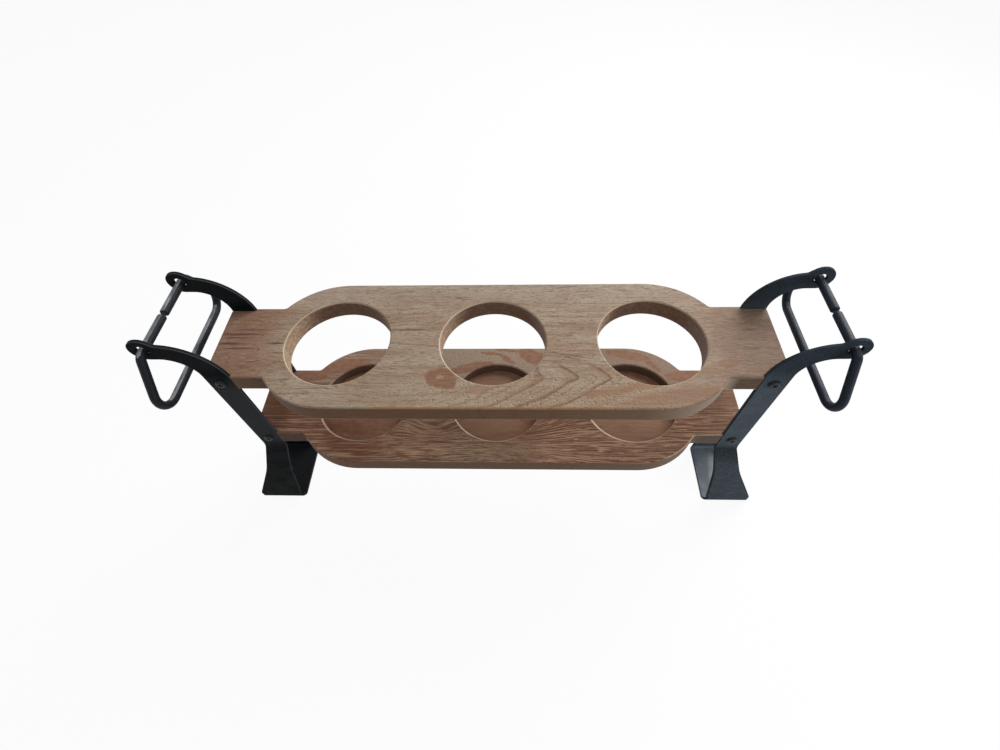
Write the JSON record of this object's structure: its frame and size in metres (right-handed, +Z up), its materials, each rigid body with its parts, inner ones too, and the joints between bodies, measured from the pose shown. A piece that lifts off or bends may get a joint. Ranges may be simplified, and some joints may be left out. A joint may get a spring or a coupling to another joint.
{
  "type": "utensil caddy",
  "caption": "Long round-ended wooden board with jar holes over a matching recessed board, carried by bent flat-bar end frames with swinging rod bail handles.",
  "frame": {"origin": "on the floor, under the middle of the caddy", "axes": "+X along the caddy from left to right, +Y from its front to its rear, +Z up"},
  "size_m": [0.602, 0.134, 0.3138],
  "materials": {
    "limed_oak": "greyed, open grain, matt",
    "stained_oak": "stained, limed grain, matt",
    "black_bar": "blackened, satin",
    "black_rod": "blackened, semi-gloss",
    "black_screw": "blackened, satin"
  },
  "bodies": {
    "base": {"upper_board": "limed_oak", "lower_board": "stained_oak", "left_end_frame": "black_bar", "right_end_frame": "black_bar", "screw_left_front_upper": "black_screw", "screw_left_front_lower": "black_screw", "screw_left_rear_upper": "black_screw", "screw_left_rear_lower": "black_screw", "screw_right_front_upper": "black_screw", "screw_right_front_lower": "black_screw", "screw_right_rear_upper": "black_screw", "screw_right_rear_lower": "black_screw"},
    "left_bail": {"left_bail_handle": "black_rod"},
    "right_bail": {"right_bail_handle": "black_rod"}
  },
  "joints": [
    {"name": "left_bail_swing", "type": "hinge", "parent": "base", "child": "left_bail", "pos_m": [-0.2662, 0, 0.3019], "axis": [0, 1, 0], "range_deg": [-29, 285]},
    {"name": "right_bail_swing", "type": "hinge", "parent": "base", "child": "right_bail", "pos_m": [0.2662, 0, 0.3019], "axis": [0, -1, 0], "range_deg": [-29, 285]}
  ]
}
